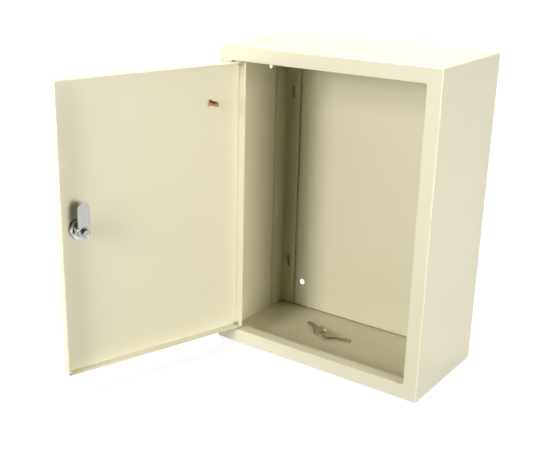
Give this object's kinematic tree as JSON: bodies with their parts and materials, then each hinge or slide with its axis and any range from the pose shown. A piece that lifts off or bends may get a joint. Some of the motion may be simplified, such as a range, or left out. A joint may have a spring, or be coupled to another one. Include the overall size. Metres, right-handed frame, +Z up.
{
  "type": "fire alarm control panel enclosure",
  "caption": "Wall-mount sheet-steel cabinet for a fire alarm control panel, with an inset hinged door, key-operated cam lock, earth stud, corner rails with keyholes and loose keys on a ring.",
  "frame": {"origin": "middle of the rectangle of wall-fixing holes, on the rear face of the back panel", "axes": "+X to the right seen from the front, +Y into the wall, +Z up"},
  "size_m": [0.3537, 0.3939, 0.4],
  "materials": {
    "cream_paint": "fine-textured semi-gloss powder coat",
    "zinc_plate": "bright zinc plate",
    "chrome_plate": "polished plate",
    "copper_plate": "copper-flashed steel",
    "key_nickel": "dull plated brass",
    "steel_wire": "drawn wire",
    "nylon": "natural nylon"
  },
  "bodies": {
    "cabinet": {"body_left": "cream_paint", "body_right": "cream_paint", "body_top": "cream_paint", "body_bottom": "cream_paint", "back_panel": "cream_paint", "corner_rail_left": "cream_paint", "corner_rail_right": "cream_paint", "hinge_pin_top": "zinc_plate", "hinge_spacer_top": "nylon", "hinge_clip_top": "zinc_plate", "hinge_pin_bottom": "zinc_plate", "hinge_spacer_bottom": "nylon", "hinge_clip_bottom": "zinc_plate"},
    "door": {"door_panel": "cream_paint", "door_earth_stud": "copper_plate", "lock_housing": "chrome_plate", "lock_washer": "zinc_plate", "lock_nut": "chrome_plate"},
    "lock_barrel": {"lock_plug": "chrome_plate", "lock_cam": "zinc_plate", "cam_washer": "zinc_plate", "cam_screw": "zinc_plate"},
    "ring": {"key_ring": "steel_wire"},
    "first_key": {"key_a": "key_nickel"},
    "second_key": {"key_b": "key_nickel"}
  },
  "joints": [
    {"name": "door_hinge", "type": "hinge", "parent": "cabinet", "child": "door", "pos_m": [-0.1235, -0.1505, 0], "axis": [0, 0, 1], "range_deg": [-7.5, 107.5]},
    {"name": "lock_turn", "type": "hinge", "parent": "door", "child": "lock_barrel", "pos_m": [-0.18636, -0.36817, 0.00355], "axis": [0.9537, -0.3007, 0], "range_deg": [0, 90]},
    {"name": "keys_lift", "type": "slide", "parent": "cabinet", "child": "ring", "axis": [0, 0, 1], "range_m": [0, 0.3]},
    {"name": "key_a_swing", "type": "hinge", "parent": "ring", "child": "first_key", "pos_m": [-0.03892, -0.06313, -0.1951], "axis": [0, 0, 1], "range_deg": [-20, 20]},
    {"name": "key_b_swing", "type": "hinge", "parent": "ring", "child": "second_key", "pos_m": [-0.02988, -0.06787, -0.1951], "axis": [0, 0, 1], "range_deg": [-20, 20]}
  ]
}
